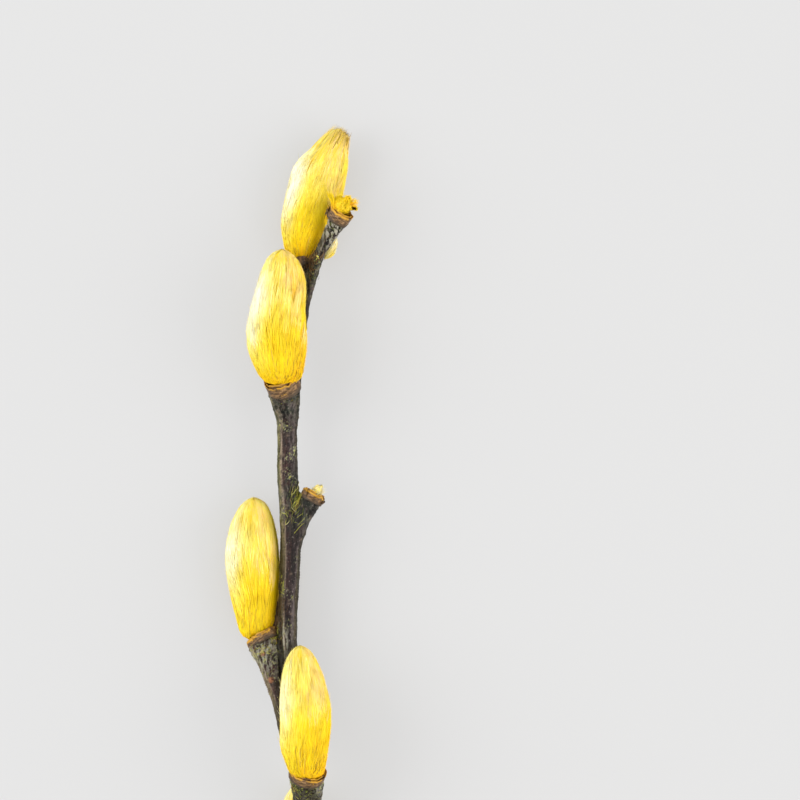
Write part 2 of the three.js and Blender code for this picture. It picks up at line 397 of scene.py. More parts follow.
class Finish:
    """A material, with short ways to add the nodes of its pattern."""

    def __init__(self, name):
        self.material = bpy.data.materials.new(name)
        self.material.use_nodes = True
        self.tree = self.material.node_tree
        self.shader = self.tree.nodes["Principled BSDF"]

    def add(self, kind, **settings):
        """A node of this kind, set like this."""
        node = self.tree.nodes.new("ShaderNode" + kind)
        for name, value in settings.items():
            setattr(node, name, value)
        return node

    def join(self, source, target):
        """A link from one node's output to another's input."""
        self.tree.links.new(source, target)

    def value(self, name):
        """One of the values that are kept at the mesh's points."""
        return self.add("Attribute", attribute_name=name).outputs["Fac"]

    def noise(self, size, detail, stretch=(1, 1, 1)):
        """Noise in the piece's own frame, with lumps of this size in metres."""
        place = self.add("TexCoord").outputs["Object"]
        scaling = self.add("Mapping")
        scaling.inputs["Scale"].default_value = [1 / size / way for way in stretch]
        pattern = self.add("TexNoise")
        pattern.inputs["Scale"].default_value = 1.0
        pattern.inputs["Detail"].default_value = detail
        self.join(place, scaling.inputs["Vector"])
        self.join(scaling.outputs["Vector"], pattern.inputs["Vector"])
        return pattern.outputs["Fac"]

    def ramp(self, source, stops):
        """Colours by value: stops is a list of (value, (red, green, blue))."""
        ramp = self.add("ValToRGB")
        colours = ramp.color_ramp.elements
        while len(colours) < len(stops):
            colours.new(0.5)
        for colour, (value, shade) in zip(colours, stops):
            colour.position = value
            colour.color = (*shade, 1)
        self.join(source, ramp.inputs["Fac"])
        return ramp.outputs["Color"]

    def curve(self, source, low, high):
        """A value that goes from 0 to 1 as its source goes from low to high."""
        spread = self.add("MapRange", interpolation_type="SMOOTHSTEP")
        spread.inputs["From Min"].default_value = low
        spread.inputs["From Max"].default_value = high
        self.join(source, spread.inputs["Value"])
        return spread.outputs["Result"]

    def mix(self, share, first, second, way="MIX"):
        """Colours by a share: the first at 0 and the second at 1."""
        blend = self.add("Mix", data_type="RGBA", blend_type=way)
        for socket, given in (("Factor", share), ("A", first), ("B", second)):
            target = [s for s in blend.inputs if s.name == socket and s.enabled][0]
            if isinstance(given, bpy.types.NodeSocket):
                self.join(given, target)
            else:
                target.default_value = (*given, 1) if isinstance(given, tuple) else given
        return [s for s in blend.outputs if s.enabled][0]

    def times(self, first, second):
        """Two values multiplied: each is a socket or a number."""
        product = self.add("Math", operation="MULTIPLY")
        for socket, given in zip(product.inputs, (first, second)):
            if isinstance(given, bpy.types.NodeSocket):
                self.join(given, socket)
            else:
                socket.default_value = given
        return product.outputs["Value"]

    def chart(self, name):
        """The two coordinates of one of the mesh's charts."""
        ways = self.add("SeparateXYZ")
        self.join(self.add("UVMap", uv_map=name).outputs["UV"], ways.inputs["Vector"])
        return ways.outputs["X"], ways.outputs["Y"]

    def coat(self, colour, roughness, specular):
        """The shader's colour, how rough it is and how much it shines."""
        self.join(colour, self.shader.inputs["Base Color"])
        self.shader.inputs["Roughness"].default_value = roughness
        self.shader.inputs["Specular IOR Level"].default_value = specular

    def tinted(self, colour, source, amount, shade):
        """The colour taken this far towards a shade wherever the source is 1."""
        return self.mix(self.times(source, amount), colour, shade)

    def bump(self, source, depth):
        """Relief too fine for the mesh, this deep in metres."""
        relief = self.add("Bump")
        relief.inputs["Distance"].default_value = depth
        self.join(source, relief.inputs["Height"])
        self.join(relief.outputs["Normal"], self.shader.inputs["Normal"])


bark = Finish("willow bark")
# Painted light and shade by the way the bark faces: the -X side, towards the lamp, is painted
# lighter in olive-tan, then comes a pinkish painted highlight along a ridge, then the bark's own
# dark maroon, and a greyer band of painted reflection on the far side.
bark_colour = bark.ramp(bark.value("across"), [
    (0.0, (0.12, 0.122, 0.040)), (0.12, (0.23, 0.205, 0.09)), (0.21, (0.22, 0.18, 0.095)),
    (0.26, (0.33, 0.25, 0.18)), (0.32, (0.038, 0.018, 0.013)), (0.5, (0.030, 0.014, 0.011)),
    (0.62, (0.040, 0.024, 0.023)), (0.82, (0.105, 0.082, 0.078)), (0.93, (0.060, 0.050, 0.024)),
    (1.0, (0.030, 0.026, 0.012))])
bark_colour = bark.tinted(bark_colour, bark.value("red"), 0.45, (0.075, 0.024, 0.022))

# Green-black under the cups, and painted shade darkening every groove and pit.
green_black = bark.times(bark.value("mossy"), bark.curve(bark.noise(1.6 * MM, 5), 0.36, 0.56))
bark_colour = bark.tinted(bark_colour, green_black, 0.9, (0.010, 0.015, 0.009))
painted_groove_shade = bark.ramp(bark.value("ridge"), [
    (0.1, (0.13, 0.12, 0.12)), (0.4, (0.48, 0.45, 0.45)), (0.65, (0.95, 0.95, 0.95)),
    (0.95, (1.0, 1.0, 1.0))])
painted_pit_shade = bark.ramp(bark.noise(0.3 * MM, 5, (1, 3, 1)), [
    (0.36, (0.25, 0.25, 0.25)), (0.5, (0.92, 0.92, 0.92)), (0.7, (1.0, 1.0, 1.0))])
for shading in (painted_groove_shade, painted_pit_shade):
    bark_colour = bark.mix(1.0, bark_colour, shading, "MULTIPLY")

# Painted highlight glints along the grain, small pale flecks, the pores, and the crust of lichen.
glints = bark.times(bark.curve(bark.noise(0.62 * MM, 6, (0.8, 2.4, 0.8)), 0.47, 0.57),
                    bark.value("painted_glint"))
bark_colour = bark.tinted(bark_colour, glints, 0.85, (0.38, 0.36, 0.28))
flecks = bark.curve(bark.noise(0.26 * MM, 3, (1, 2.4, 1)), 0.63, 0.70)
bark_colour = bark.tinted(bark_colour, flecks, 0.36, (0.38, 0.32, 0.28))
bark_colour = bark.tinted(bark_colour, bark.value("pore"), 0.45, (0.20, 0.14, 0.10))
lichen_crust = bark.times(bark.value("lichen"), bark.curve(bark.noise(0.5 * MM, 6), 0.48, 0.62))
lichen_shade = bark.ramp(bark.noise(0.5 * MM, 3), [
    (0.34, (0.035, 0.060, 0.014)), (0.45, (0.13, 0.16, 0.06)), (0.54, (0.36, 0.38, 0.27)),
    (0.70, (0.44, 0.42, 0.06))])
bark_colour = bark.tinted(bark_colour, lichen_crust, 0.65, lichen_shade)

# Painted shadow on the bark beside the catkins, the flaky brown scars, and painted shade in the
# crease.
bark_colour = bark.tinted(bark_colour, bark.value("beside"), 0.8, (0.016, 0.011, 0.005))
scar_flakes = bark.times(bark.value("scar"), bark.curve(bark.noise(0.5 * MM, 4), 0.30, 0.52))
bark_colour = bark.tinted(bark_colour, scar_flakes, 0.85, (0.27, 0.11, 0.05))
bark_colour = bark.tinted(bark_colour, bark.value("crease_and_shade"), 0.88, (0.010, 0.007, 0.005))

# The wood of the cut: pith, pale wood with its year rings, a thin green bast and the bark.
wood_colour = bark.ramp(bark.value("cut_share"), [
    (0.0, (0.20, 0.10, 0.04)), (0.10, (0.30, 0.17, 0.07)), (0.14, (0.56, 0.42, 0.23)),
    (0.5, (0.62, 0.49, 0.29)), (0.88, (0.66, 0.54, 0.33)), (0.91, (0.20, 0.21, 0.05)),
    (0.95, (0.12, 0.12, 0.03)), (0.97, (0.035, 0.022, 0.014))])
year_rings = bark.add("Math", operation="SINE")
ring_turns = 38.0
bark.join(bark.times(bark.value("cut_share"), ring_turns), year_rings.inputs[0])
ring_lines = bark.curve(year_rings.outputs[0], 0.2, 1.0)
wood_colour = bark.tinted(wood_colour, ring_lines, 0.3, (0.36, 0.24, 0.11))
wood_stains = bark.curve(bark.noise(0.35 * MM, 4), 0.5, 0.7)
wood_colour = bark.tinted(wood_colour, wood_stains, 0.3, (0.34, 0.25, 0.13))
bark_colour = bark.mix(bark.value("on_cut"), bark_colour, wood_colour)
bark.coat(bark_colour, roughness=0.38, specular=0.14)
bark.bump(bark.noise(0.24 * MM, 6, (1, 2.6, 1)), 0.17 * MM)
even_mesh.materials.clear()
even_mesh.materials.append(bark.material)
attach(stem, "root")
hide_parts("twig_stem")


# The catkins.
# Each is a soft spindle of silky hairs, dyed yellow and combed to its tip in loose locks. The hairs
# stand in a core, and they are deeper in colour at their roots: partly their own colour and partly
# painted warm shade, so that the gaps between hairs look golden.
def skin_of(node, base_near, fill, foot_shift=(0, 0, 0), bulges=()):
    """The node's skin as rows of points, evenly spaced from its base to its tip, with normals.
    Its base is the end that base_near lies past. fill is by how much of its width it is wider
    at its foot, where it fills its cup, and foot_shift moves its foot by this many millimetres.
    bulges are (share of its length, turn, length, breadth in turns, height in millimetres) of
    soft swellings."""
    mesh = nodes[node].data
    points = mesh_points(mesh)
    faces = BVHTree.FromPolygons([tuple(point) for point in points],
                                 [tuple(face.vertices) for face in mesh.polygons])
    lengthways = np.linalg.eigh(np.cov(points.T))[1][:, 2]
    if (np.array(base_near) - points.mean(0)) @ lengthways > 0:
        lengthways = -lengthways
    reach = points @ lengthways
    rings, sides = 64, 48
    turns = np.arange(sides) / sides * 2 * math.pi

    def around(centre, way, count=sides):
        """Where rays from the centre, square to the way, leave the node."""
        over = unit(np.array([0.0, 0.0, 1.0]) - way[2] * way)
        side = np.cross(way, over)
        ways = [np.cos(turn) * side + np.sin(turn) * over for turn in turns[::sides // count]]
        hits = [faces.ray_cast(Vector(centre), Vector(outwards))[0] for outwards in ways]
        return np.array([centre if hit is None else tuple(hit) for hit in hits])

    # The centre line, first along the straight axis and then square to itself.
    levels = np.linspace(reach.min(), reach.max(), 15)[1:-1, None]
    line = points.mean(0) + (levels - points.mean(0) @ lengthways) * lengthways
    ways = np.repeat(lengthways[None], len(line), 0)
    for settling in range(4):
        line = np.array([around(centre, way, 12).mean(0) for centre, way in zip(line, ways)])
        ways = unit(np.gradient(line, axis=0))
    base_height = 0.35 * MM
    foot = points[reach < reach.min() + base_height].mean(0)
    tip = np.array(faces.ray_cast(Vector(line[-2]), Vector(unit(line[-2] - line[-6])))[0])
    line = np.vstack([foot, line[1:-1], tip])

    # Rows of points round it, closer together at the tip, and smoothed.
    travelled = np.append(0, np.linalg.norm(np.diff(line, axis=0), axis=1).cumsum())
    tip_rows = 8
    shares = np.append(np.linspace(0.02, 0.9, rings - tip_rows, endpoint=False),
                       np.linspace(0.9, 0.992, tip_rows))
    centres = np.array([np.interp(shares * travelled[-1], travelled, line[:, way])
                        for way in range(3)]).T
    ways = unit(np.gradient(centres, shares, axis=0))
    for rounding in range(12):
        ways[1:-1] = unit(ways[:-2] + 2 * ways[1:-1] + ways[2:])
    rows = np.array([around(centre, way) for centre, way in zip(centres, ways)]
                    + [np.repeat(tip[None], sides, 0)])
    lengthways = ways[-1]
    shares = np.append(shares, 1.0)
    for rounding in range(2):
        rows = 0.5 * rows + 0.25 * np.roll(rows, 1, 1) + 0.25 * np.roll(rows, -1, 1)
    for rounding in range(3):
        rows[1:-1] = 0.5 * rows[1:-1] + 0.25 * rows[:-2] + 0.25 * rows[2:]

    # The foot and the swellings.
    near_foot = (1 - smooth_step(0.0, 0.16, shares))[:, None, None]
    rows += (rows - rows.mean(1, keepdims=True)) * near_foot * fill
    rows += (1 - smooth_step(0.0, 0.32, shares))[:, None, None] * np.array(foot_shift) * MM
    for middle, turn, long_way, breadth, height in bulges:
        aside = (np.arange(sides) / sides - turn + 0.5) % 1.0 - 0.5
        swell = np.exp(-((shares - middle) / long_way) ** 2)[:, None]
        swell = swell * np.exp(-(aside / breadth) ** 2)[None]
        outwards = unit(rows - rows.mean(1, keepdims=True))
        rows[:-1] += outwards[:-1] * (swell[:-1] * height * MM)[..., None]

    # The same rows, spaced evenly along the skin.
    steps = np.linalg.norm(np.diff(rows, axis=0), axis=2)
    travelled = np.vstack([np.zeros(sides), steps.cumsum(0)])
    even = np.empty((rings, sides, 3))
    for turn in range(sides):
        wanted = np.linspace(0, travelled[-1, turn], rings)
        for way in range(3):
            even[:, turn, way] = np.interp(wanted, travelled[:, turn], rows[:, turn, way])
    onwards = np.gradient(even, axis=0)
    sideways = np.roll(even, -1, 1) - np.roll(even, 1, 1)
    normals = unit(np.cross(onwards, sideways))
    normals *= np.sign((normals * (even - even.mean(1, keepdims=True))).sum(2).mean())
    normals[-1] = lengthways
    normals[-2] = unit(normals[-3] + lengthways)
    return {"rows": even, "normals": normals, "length": travelled[-1].mean(), "way": lengthways}


def on_skin(grid, along, turn):
    """Places on a skin: along runs from 0 at the base to 1 at the tip, turn in whole turns.
    Past the tip they go down the other side."""
    rings, sides = grid.shape[:2]
    turn = np.where(along > 1, turn + 0.5, turn)
    along = np.where(along > 1, 2 - along, along)
    row = np.clip(along, 0, 1) * (rings - 1)
    low = np.minimum(row.astype(int), rings - 2)
    up = (row - low)[..., None]
    column = (turn % 1.0) * sides
    left = column.astype(int) % sides
    right = (left + 1) % sides
    across = (column - np.floor(column))[..., None]
    lower = grid[low, left] * (1 - across) + grid[low, right] * across
    upper = grid[low + 1, left] * (1 - across) + grid[low + 1, right] * across
    return lower * (1 - up) + upper * up


def hair_mesh(paths, ups, widths, shades):
    """Closed three-sided hairs, each through its row of points and tapering to its last one.
    shades has one colour for each hair or one for each of its points. Returns points,
    triangles, a place on the colour chart for each point and the way that it faces, which is
    close to the skin's own, so that light falls softly over the whole fur."""
    count, places = paths.shape[:2]
    forward = unit(np.gradient(paths, axis=1))
    sideways = unit(np.cross(forward, ups))
    ups = np.cross(sideways, forward)
    taper = widths[:, :-1, None]
    body = paths[:, :-1]
    ridge_share = 0.55
    ring = np.stack([body - sideways[:, :-1] * taper / 2, body + sideways[:, :-1] * taper / 2,
                     body + ups[:, :-1] * taper * ridge_share], axis=2)
    points = np.concatenate([ring.reshape(count, -1, 3), paths[:, -1:]], axis=1)
    per_hair = points.shape[1]

    # The first hair's triangles, and the same for every other.
    triangles = [(0, 1, 2)]
    for place in range(places - 2):
        for corner in range(3):
            a, b = place * 3 + corner, place * 3 + (corner + 1) % 3
            triangles += [(a, a + 3, b + 3), (a, b + 3, b)]
    last, tip = (places - 2) * 3, per_hair - 1
    triangles += [(last + corner, tip, last + (corner + 1) % 3) for corner in range(3)]
    triangles = np.array(triangles)[None] + (np.arange(count) * per_hair)[:, None, None]

    # The chart: a hair's colour across it and its height up it.
    heights = np.append(np.repeat(np.arange(places - 1), 3), places - 1) / (places - 1)
    chart_width = 0.012
    spread = np.append(np.tile([-chart_width, chart_width, 0.0], places - 1), 0.0)
    stepped = np.broadcast_to(np.asarray(shades).reshape(count, -1), (count, places))
    stepped = np.concatenate([np.repeat(stepped[:, :-1], 3, axis=1), stepped[:, -1:]], axis=1)
    chart = np.empty((count, per_hair, 2))
    chart[:, :, 0] = np.clip(stepped + spread, 0.002, 0.998)
    chart[:, :, 1] = 0.02 + 0.96 * heights
    roundness = 0.22
    aside = sideways[:, :-1] * roundness
    facing = np.stack([ups[:, :-1] - aside, ups[:, :-1] + aside, ups[:, :-1]], axis=2)
    facing = np.concatenate([facing.reshape(count, -1, 3), ups[:, -1:]], axis=1)
    return (points.reshape(-1, 3), triangles.reshape(-1, 3), chart.reshape(-1, 2),
            unit(facing.reshape(-1, 3)))


def add_piece(name, parts, finish, node=None, chart_name="OFBake"):
    """A smooth mesh of these (points, triangles, chart, facing), which rides with the twig and
    may stand for a node."""
    starts = np.cumsum([0] + [len(part[0]) for part in parts[:-1]])
    triangles = np.concatenate([part[1] + start for part, start in zip(parts, starts)])
    points, chart, facing = (np.concatenate([part[n] for part in parts]) for n in (0, 2, 3))
    mesh = bpy.data.meshes.new(name)
    mesh.vertices.add(len(points))
    mesh.vertices.foreach_set("co", points.astype(np.float32).ravel())
    mesh.loops.add(triangles.size)
    mesh.loops.foreach_set("vertex_index", triangles.astype(np.int32).ravel())
    mesh.polygons.add(len(triangles))
    mesh.polygons.foreach_set("loop_start", np.arange(0, triangles.size, 3, dtype=np.int32))
    mesh.update(calc_edges=True)
    chart_map = mesh.uv_layers.new(name=chart_name)
    chart_map.data.foreach_set("uv", chart[triangles.ravel()].astype(np.float32).ravel())
    mesh.shade_smooth()
    mesh.normals_split_custom_set_from_vertices(facing.astype(np.float32))
    mesh.materials.append(finish.material)
    piece = bpy.data.objects.new(name, mesh)
    bpy.context.scene.collection.objects.link(piece)
    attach(piece, "root")
    if node:
        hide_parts(node)


fur = Finish("dyed catkin fur")
hair_shade, hair_height = fur.chart("OFBake")
tint = fur.ramp(hair_shade, [
    (0.0, (0.30, 0.16, 0.010)), (0.03, (0.66, 0.42, 0.03)), (0.06, (0.99, 0.72, 0.26)),
    (0.13, (0.96, 0.66, 0.15)), (0.2, (0.90, 0.51, 0.002)), (0.32, (0.93, 0.60, 0.002)),
    (0.44, (0.925, 0.66, 0.006)), (0.6, (0.92, 0.70, 0.06)), (0.72, (0.925, 0.765, 0.18)),
    (0.88, (0.92, 0.845, 0.46)), (1.0, (0.92, 0.89, 0.72))])
# Deeper and warmer towards each hair's root: partly its own colour, partly painted warm shade in the
# gaps.
root_tint = fur.ramp(hair_height, [
    (0.0, (0.90, 0.60, 0.06)), (0.33, (0.98, 0.85, 0.32)), (0.62, (1.0, 1.0, 1.0)),
    (1.0, (1.0, 1.0, 1.0))])
fur.coat(fur.mix(1.0, tint, root_tint, "MULTIPLY"), roughness=0.5, specular=0.18)

# Each hair has points at these shares of its length.
stations = np.array([0.0, 0.3, 0.65, 1.0])


def bowed(starts, bends, ends, shares):
    """Paths from starts to ends that lean towards bends, with points at these shares."""
    curves = [(1 - t) ** 2 * starts + 2 * t * (1 - t) * bends + t ** 2 * ends for t in shares]
    return np.stack(curves, axis=1)


def skin_grid(rows, sides, last):
    """Places on a skin in even rows, from its base to this share of its length."""
    return np.meshgrid(np.linspace(0, last, rows), np.arange(sides) / sides, indexing="ij")


def tube_faces(rows, sides, closed=False):
    """Triangles between rows of points round a tube. closed joins its last row to its first."""
    triangles = []
    for row in range(rows if closed else rows - 1):
        beyond = (row + 1) % rows
        for column in range(sides):
            beside = (column + 1) % sides
            a, b = row * sides + column, row * sides + beside
            c, d = beyond * sides + beside, beyond * sides + column
            triangles += [(a, c, b), (a, d, c)]
    return triangles


def core_part(skin, along, turn, lift, shade, height, end_place):
    """A closed core under a skin, lifted from it by this much at each place of its grid. shade
    and height are its places on the colour chart, and end_place is that of its two ends."""
    rows, sides = along.shape
    facing = on_skin(skin["normals"], along, turn)
    core = on_skin(skin["rows"], along, turn) + facing * lift[..., None]
    points = np.concatenate([core.reshape(-1, 3), core[0].mean(0)[None], core[-1].mean(0)[None]])
    triangles = tube_faces(rows, sides)
    foot_point, tip_point, last_row = rows * sides, rows * sides + 1, (rows - 1) * sides
    for column in range(sides):
        beside = (column + 1) % sides
        triangles.append((foot_point, column, beside))
        triangles.append((tip_point, last_row + beside, last_row + column))
    chart = np.empty((len(points), 2))
    chart[:-2, 0] = shade.ravel()
    chart[:-2, 1] = height.ravel()
    chart[-2:] = end_place
    facing = np.concatenate([facing.reshape(-1, 3), -skin["way"][None], skin["way"][None]])
    return points, np.array(triangles), chart, facing


def fur_parts(skin, seed, hairs, peach, pale, lean=0.0, locks=320, hair_length=8 * MM,
              hair_width=0.078 * MM, depth=0.33 * MM, foot_shade=0.40, tip_shade=0.66):
    """Hairs in loose locks and the core that they stand in, this deep. peach is how peach-coloured
    the locks on the +X side are, pale how much paler the -X side is painted, as painted light, and
    lean how far the combing turns round the axis, in turns. foot_shade and tip_shade are places on
    the colour chart, and lengths are in metres."""
    rng = np.random.default_rng(seed)
    rows, normals, length = skin["rows"], skin["normals"], skin["length"]
    girth = np.linalg.norm(np.roll(rows, 1, 1) - rows, axis=2).sum(1)
    girth_share = np.cumsum(girth) / girth.sum()

    # The locks: where each starts, how long it is, how it is combed and its colour.
    lock_root = np.interp(rng.uniform(0, 1, locks), girth_share,
                          np.linspace(-0.12, 0.93, len(rows)))
    lock_turn = rng.uniform(0, 1, locks)
    lock_reach = hair_length / length * rng.normal(1.0, 0.16, locks)
    lock_end = np.minimum(lock_root + lock_reach, rng.uniform(0.97, 1.02, locks))
    lock_sweep = lean + 0.028 * rng.normal(size=locks) * (1 - 0.6 * lock_root)
    lock_lift = rng.uniform(-0.05, 0.08, locks) * MM
    facing = on_skin(normals, np.clip(lock_root + 0.1, 0, 1), lock_turn)
    lock_tone = 0.035 * rng.normal(size=locks)
    peach_side = (smooth_step(-0.1, 0.6, facing[:, 0])
                  * (1 - 0.6 * smooth_step(0.7, 0.95, facing[:, 0])))
    peach_share = peach * smooth_step(0.1, 0.35, lock_root) * peach_side
    is_peach = rng.uniform(0, 1, locks) < peach_share
    peach_shade = rng.uniform(0.08, 0.14, locks)

    def colour_at(place, sideways, upwards):
        """Golden low down and paler to the tip. Painted light makes it paler high on the -X side,
        towards the lamp, and painted shade makes it more golden on the +X side.
        """
        tone = foot_shade + (tip_shade - foot_shade) * smooth_step(0.2, 0.62, place)
        painted_light_side = smooth_step(0.15, 0.85, -sideways) * smooth_step(0.0, 0.32, place)
        painted_light_side = painted_light_side * smooth_step(-0.35, 0.35, upwards)
        tone = tone + pale * painted_light_side * (1 - 0.7 * smooth_step(0.48, 0.8, place))
        painted_shade_side = smooth_step(0.0, 0.8, sideways) * smooth_step(0.45, 0.1, place)
        tone = tone - 0.7 * painted_shade_side * (tone - 0.27)
        return tone - 0.07 * smooth_step(0.6, 0.95, sideways)

    # The hairs: spread about the start of their lock, and closer together at its end.
    lock = rng.integers(0, locks, hairs)
    lock_width, least_radius = 0.6 * MM, 1.2 * MM
    radius = np.interp(np.clip(lock_root, 0, 1), np.linspace(0, 1, len(rows)), girth) / (2 * math.pi)
    aside = rng.normal(size=hairs) * lock_width / np.maximum(radius[lock], least_radius)
    aside = aside / (2 * math.pi)
    onwards = rng.normal(size=hairs) * lock_width / length
    gather = rng.uniform(0.35, 0.95, hairs)
    root = lock_root[lock] + onwards
    short_by = 0.06 * rng.uniform(0, 1, hairs) ** 2
    end = np.minimum(lock_end[lock] + onwards * 0.8 - short_by, 1.03)
    along = root[:, None] + (end - root)[:, None] * stations
    bend = stations ** 1.4
    turn = lock_turn[lock][:, None] + aside[:, None] * (1 - (1 - gather[:, None]) * bend)
    turn = turn + lock_sweep[lock][:, None] * bend

    # Each rises from the core to the surface, and a few strays stand off it.
    stray_share = 0.09
    stray = rng.uniform(0, 1, hairs) < stray_share
    turn = turn + stray[:, None] * rng.normal(size=hairs)[:, None] * 0.02 * bend
    lift = lock_lift[lock] + rng.normal(size=hairs) * 0.026 * MM
    lift = lift + stray * rng.uniform(0.05, 0.8, hairs) ** 1.5 * depth * 1.5
    rise = 1 - (1 - stations) ** 2.2
    height = -depth * (1 - rise) + lift[:, None] * stations ** 1.5
    ups = on_skin(normals, along, turn)
    paths = on_skin(rows, along, turn) + ups * height[..., None]
    foot = rows[0].mean(0)
    below_base = np.minimum(along, 0)[..., None]
    paths = paths + (paths - foot) * np.maximum(below_base * 9, -0.85)
    paths = paths + below_base * length * 0.2 * skin["way"]
    width = hair_width * rng.uniform(0.7, 1.25, hairs) * np.where(stray, 0.5, 1.0)
    widths = width[:, None] * np.array([0.8, 1.1, 0.9, 0.0])

    # Its colour: that of its place, its lock's own tone, and a little of its own. Some hairs are
    # paler, and a few thin ones, most of them at the foot and low on the +X side, are brown.
    own_place = 0.55 * np.clip(along, 0, 1) + 0.45 * (np.clip(root, 0, 1)[:, None] + 0.12)
    shade = colour_at(own_place, ups[..., 0], ups[..., 2]) + lock_tone[lock][:, None]
    shade = np.where(is_peach[lock][:, None], peach_shade[lock][:, None], shade)
    shade = shade + 0.022 * rng.normal(size=hairs)[:, None]
    facing = on_skin(normals, np.clip(root + 0.1, 0, 1), turn[:, 0])
    is_pale = rng.uniform(0, 1, hairs) < 0.05 * smooth_step(0.0, 0.3, root)
    shade = np.where(is_pale[:, None], shade + rng.uniform(0.08, 0.2, hairs)[:, None], shade)
    brown_side = smooth_step(-0.1, 0.6, facing[:, 0]) * smooth_step(0.7, 0.4, root)
    brown_share = 0.0005 + 0.010 * brown_side + 0.11 * smooth_step(0.12, 0.0, root)
    is_brown = rng.uniform(0, 1, hairs)[:, None] < brown_share[:, None]
    brown_shade = rng.uniform(0.0, 0.035, hairs)[:, None]
    shade = np.where(is_brown, brown_shade, np.clip(shade, 0.07, 0.95))
    widths = widths * np.where(is_brown, 0.7 + 0.5 * smooth_step(0.2, 0.0, root)[:, None], 1.0)
    parts = [hair_mesh(paths, ups, widths, shade)]

    # Short fine hairs that stand off the surface and soften its outline: one for 60 others.
    fuzz = hairs // 60
    fuzz_along, fuzz_turn = rng.uniform(0.06, 0.7, fuzz), rng.uniform(0, 1, fuzz)
    fuzz_root = on_skin(rows, fuzz_along, fuzz_turn)
    fuzz_up = on_skin(normals, fuzz_along, fuzz_turn)
    fuzz_reach = (rng.uniform(0.6, 1.5, fuzz) * MM)[:, None, None]
    fuzz_rise = rng.uniform(0.3, 0.65, fuzz)[:, None, None] * (stations ** 1.3)[:, None]
    fuzz_paths = fuzz_root[:, None] + fuzz_reach * (
        stations[:, None] * skin["way"] + fuzz_rise * fuzz_up[:, None])
    fuzz_widths = np.outer(rng.uniform(0.035, 0.055, fuzz) * MM, (0.8, 1.0, 0.8, 0.0))
    fuzz_shade = colour_at(fuzz_along, fuzz_up[:, 0], fuzz_up[:, 2]) + 0.12
    fuzz_ups = np.repeat(fuzz_up[:, None], len(stations), 1)
    parts.append(hair_mesh(fuzz_paths, fuzz_ups, fuzz_widths, fuzz_shade))

    # The core that the hairs stand in. Its golden colour is partly painted warm shade for the gaps
    # between hairs.
    grid_along, grid_turn = skin_grid(rows=40, sides=32, last=0.985)
    core_lift = -depth * (0.85 - 0.4 * smooth_step(0.7, 1.0, grid_along))
    parts.append(core_part(skin, grid_along, grid_turn, core_lift,
                           shade=0.34 + 0.28 * smooth_step(0.4, 0.85, grid_along),
                           height=0.25 + 0.1 * grid_along, end_place=(0.3, 0.3)))
    return parts


def brush_part(skin):
    """The longest hairs of the top catkin, which run on past its tip and end in a slanting
    brush with brown ends."""
    rng = np.random.default_rng(140)
    hairs = 1100
    along, turn = rng.uniform(0.62, 0.9, hairs), rng.uniform(0, 1, hairs)
    up = on_skin(skin["normals"], along, turn)
    roots = on_skin(skin["rows"], along, turn) - 0.3 * MM * up
    beyond = on_skin(skin["rows"], along + 0.08, turn)
    upper_skin = skin["rows"][40:, :, 0]
    level = (roots[:, 0] - upper_skin.min()) / np.ptp(upper_skin)
    level = level * 0.7 + 0.3 * rng.uniform(0, 1, hairs)
    brush_left, brush_slant = np.array([4.2, 89.5, 0]), np.array([3.2, -2.4, 0])
    ends = brush_left * MM + level[:, None] * brush_slant * MM
    ends[:, 2] = 5.3 * MM + (roots[:, 2] - 4.9 * MM) * 0.5
    ends += rng.normal(size=(hairs, 3)) * np.array([0.15, 0.24, 0.2]) * MM
    ragged = rng.uniform(0, 1, hairs) < 0.12 + 0.2 * level
    ends += unit(ends - beyond) * (ragged * rng.uniform(0.2, 1.0, hairs) * MM)[:, None]
    paths = bowed(roots, beyond, ends, stations[:, None])
    is_peach = rng.uniform(0, 1, hairs) < 0.3 + 0.6 * level
    shade = np.where(is_peach, rng.uniform(0.06, 0.16, hairs), rng.uniform(0.5, 0.72, hairs))
    shade = np.repeat(shade[:, None], len(stations), 1)
    brown_end = rng.uniform(0, 1, hairs) < 0.15 + 0.5 * level
    shade[brown_end, 3] = 0.0
    shade[brown_end & (ragged | (rng.uniform(0, 1, hairs) < 0.25)), 2] = 0.01
    widths = np.array([0.08, 0.1, 0.09, 0.0]) * MM * rng.uniform(0.7, 1.3, hairs)[:, None]
    return hair_mesh(paths, np.repeat(up[:, None], len(stations), 1), widths, shade)


